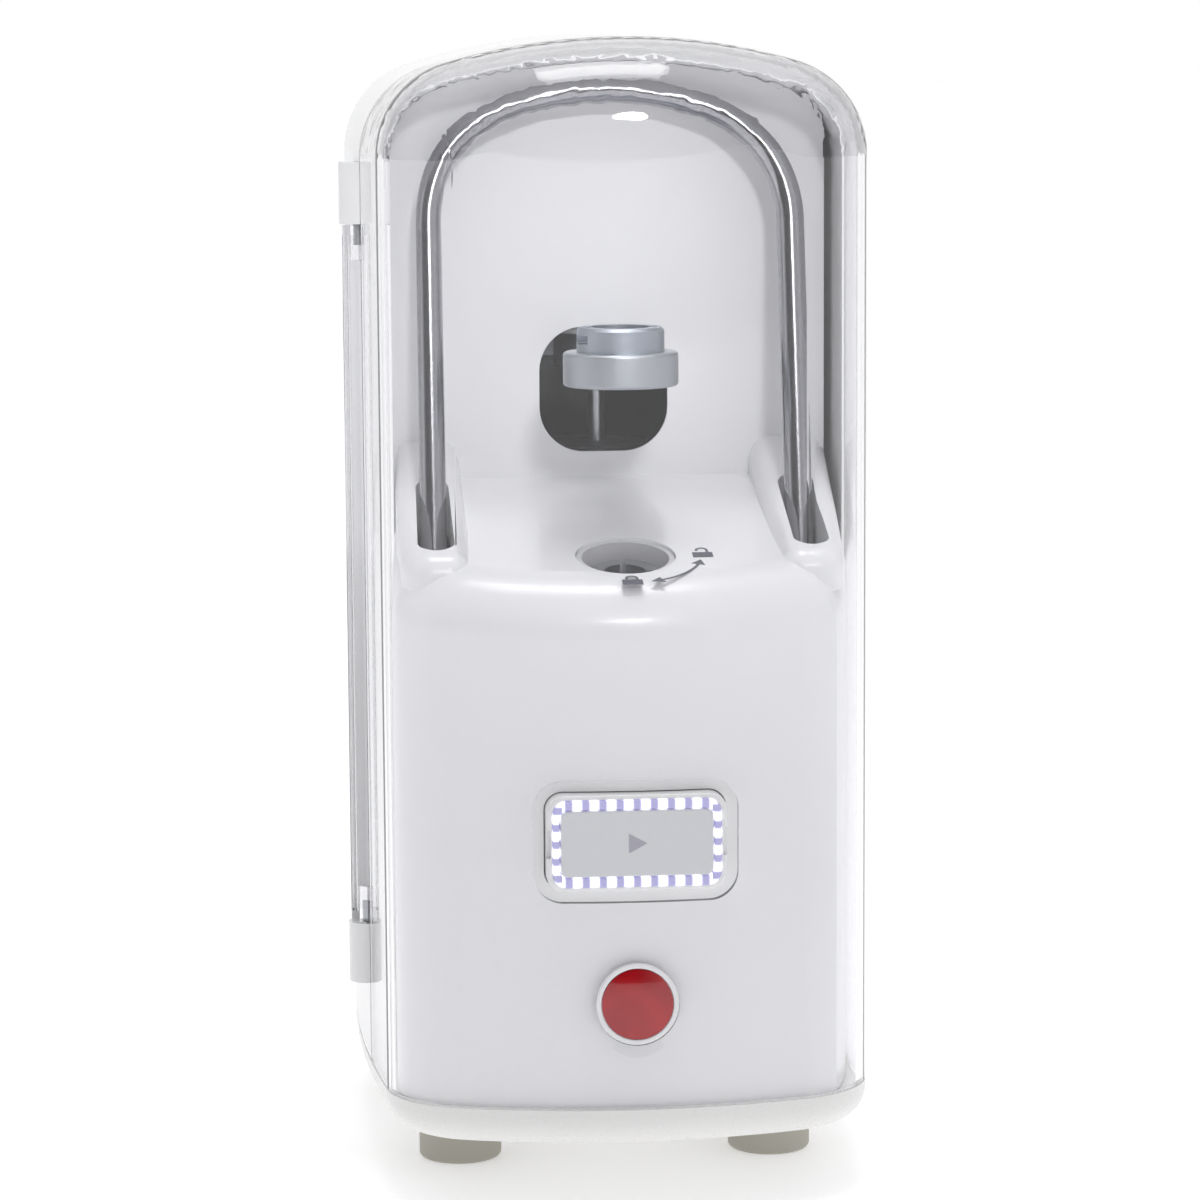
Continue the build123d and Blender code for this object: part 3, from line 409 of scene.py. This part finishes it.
def padlock(name, x, y, opened):
    w, t = 2.1 * MM, 0.55 * MM
    case = [(-w, -1.9 * MM), (w, -1.9 * MM), (w, 0.9 * MM), (-w, 0.9 * MM)]
    place = deck_place(x, y, 1.35)
    deck_mark(name + "_case", case, place)
    r = 1.35 * MM
    if opened:
        outer = arc(0, 2.2 * MM, r, 0, 180, 14)
        inner = arc(0, 2.2 * MM, r - t, 180, 0, 14)
        shape = [(r, 0.9 * MM)] + outer + [(-r, 1.7 * MM), (-r + t, 1.7 * MM)] + inner + [(r - t, 0.9 * MM)]
    else:
        outer = arc(0, 1.7 * MM, r, 0, 180, 14)
        inner = arc(0, 1.7 * MM, r - t, 180, 0, 14)
        shape = [(r, 0.9 * MM)] + outer + [(-r, 0.9 * MM), (-r + t, 0.9 * MM)] + inner + [(r - t, 0.9 * MM)]
    deck_mark(name + "_bow", shape, place)


padlock("mark_closed", 0.0, -0.0200, False)
padlock("mark_open", 0.0215, 0.0, True)


def turn_arrow():
    half_line, half_head = 0.45 * MM, 2.0 * MM
    place = deck_place(0, 0)
    outer = arc(0, 0, MARK_R + half_line, -66, -22, 24)
    inner = arc(0, 0, MARK_R - half_line, -22, -66, 24)
    deck_mark("mark_turn_line", outer + inner, place)
    for i, (end, side) in enumerate(((-66, -1), (-22, 1))):
        tip = end + side * 10
        head = [
            arc(0, 0, MARK_R, tip, tip, 1)[0],
            arc(0, 0, MARK_R + half_head, end, end, 1)[0],
            arc(0, 0, MARK_R - half_head, end, end, 1)[0],
        ]
        deck_mark(f"mark_turn_tip_{i}", head, place)


turn_arrow()

# A plain triangle for start on the button
panel_y = FRONT - 0.0014
face = Matrix.Translation((0, panel_y - 0.00001, BUTTON_Z)) @ Matrix.Rotation(math.radians(90), 4, "X")
flat_shape(
    "start_mark",
    [(-2.3 * MM, -2.7 * MM), (2.7 * MM, 0), (-2.3 * MM, 2.7 * MM)],
    [],
    face,
    0.00008,
    silver_ink,
    "start_button",
)

# Stage, light and camera
floor_mat = plastic("floor_pale", (0.93, 0.93, 0.935), 0.6, grain=40, depth=0.0, vary=0.004)
floor_mat.node_tree.nodes["Principled BSDF"].inputs["Emission Color"].default_value = (1, 1, 1, 1)
floor_mat.node_tree.nodes["Principled BSDF"].inputs["Emission Strength"].default_value = 0.3
bpy.ops.mesh.primitive_plane_add(size=30, location=(0, 6, 0))
floor = bpy.context.object
floor.name = "floor"
floor.data.materials.append(floor_mat)

bpy.context.scene.view_settings.view_transform = "Standard"
world = bpy.data.worlds.new("studio")
bpy.context.scene.world = world
world.use_nodes = True
sky = world.node_tree
background = sky.nodes["Background"]
background.inputs["Strength"].default_value = 1.25

# Pale all round and white behind the object, with a dark flag low to the left in front,
# which draws the dark lines in the steel
def facing(direction, stops):
    toward = node(sky, "ShaderNodeVectorMath", operation="DOT_PRODUCT")
    toward.inputs[1].default_value = Vector(direction).normalized()
    sky.links.new(node(sky, "ShaderNodeTexCoord").outputs["Generated"], toward.inputs[0])
    return ramp(sky, toward.outputs["Value"], stops)


flag = facing((-0.45, -0.88, -0.12), [(0.66, (1, 1, 1, 1)), (0.82, (0.01, 0.01, 0.012, 1))])
backdrop = facing((0, 1, 0), [(0.80, (0.42, 0.42, 0.43, 1)), (0.95, (0.81, 0.81, 0.81, 1))])
overhead = facing((0, 0.1, 0.99), [(0.6, (0.42, 0.42, 0.43, 1)), (0.95, (0.9, 0.9, 0.9, 1))])


def blended(kind, first, second):
    mix = node(sky, "ShaderNodeMix", data_type="RGBA", blend_type=kind)
    mix.inputs["Factor"].default_value = 1.0
    sky.links.new(first, mix.inputs[6])
    sky.links.new(second, mix.inputs[7])
    return mix.outputs[2]


lamps = blended("MULTIPLY", flag, blended("LIGHTEN", backdrop, overhead))

# To the camera itself the surroundings are one plain white
seen = node(sky, "ShaderNodeMix", data_type="RGBA")
sky.links.new(node(sky, "ShaderNodeLightPath").outputs["Is Camera Ray"], seen.inputs["Factor"])
sky.links.new(lamps, seen.inputs[6])
seen.inputs[7].default_value = (0.8, 0.8, 0.8, 1)
sky.links.new(seen.outputs[2], background.inputs["Color"])


def area(name, place, aim, size, power, colour=(1, 1, 1)):
    light = bpy.data.lights.new(name, "AREA")
    light.shape = "RECTANGLE"
    light.size, light.size_y = size
    light.energy = power
    light.color = colour
    obj = bpy.data.objects.new(name, light)
    obj.location = place
    obj.rotation_euler = (Vector(aim) - Vector(place)).to_track_quat("-Z", "Y").to_euler()
    bpy.context.scene.collection.objects.link(obj)
    return obj


area("softbox_right", (0.95, -0.75, 0.75), (0, 0, 0.17), (0.6, 1.2), 0.4)
area("softbox_left", (-1.1, -0.2, 0.6), (0, 0, 0.17), (0.6, 1.2), 0.4)
area("softbox_top", (0.0, -0.14, 1.4), (0, -0.06, 0.25), (0.5, 0.4), 3)

# A soft spot from above fills the recess behind the door
fill_data = bpy.data.lights.new("recess_fill", "SPOT")
fill_data.energy = 20
fill_data.spot_size = math.radians(11)
fill_data.spot_blend = 0.6
fill_data.shadow_soft_size = 0.08
fill = bpy.data.objects.new("recess_fill", fill_data)
fill.location = (0.1, -1.1, 0.75)
fill.rotation_euler = (Vector((0, -0.02, 0.26)) - fill.location).to_track_quat("-Z", "Y").to_euler()
bpy.context.scene.collection.objects.link(fill)

SENSOR_MM = 36
FOCAL_PX = 4237
PICTURE_PX = 1200
ROLL = math.radians(-0.35)
yaw, pitch = math.radians(5.2), math.radians(7.8)
camera_data = bpy.data.cameras.new("camera")
camera_data.sensor_width = SENSOR_MM
camera_data.lens = SENSOR_MM * FOCAL_PX / PICTURE_PX
camera_data.clip_end = 60
camera = bpy.data.objects.new("camera", camera_data)
camera.location = (-0.1134, -1.2309, 0.3295)
look = Vector((math.sin(yaw) * math.cos(pitch), math.cos(yaw) * math.cos(pitch), -math.sin(pitch)))
turned = look.to_track_quat("-Z", "Y").to_matrix().to_4x4() @ Matrix.Rotation(ROLL, 4, "Z")
camera.matrix_world = Matrix.Translation(camera.location) @ turned
bpy.context.scene.collection.objects.link(camera)
bpy.context.scene.camera = camera
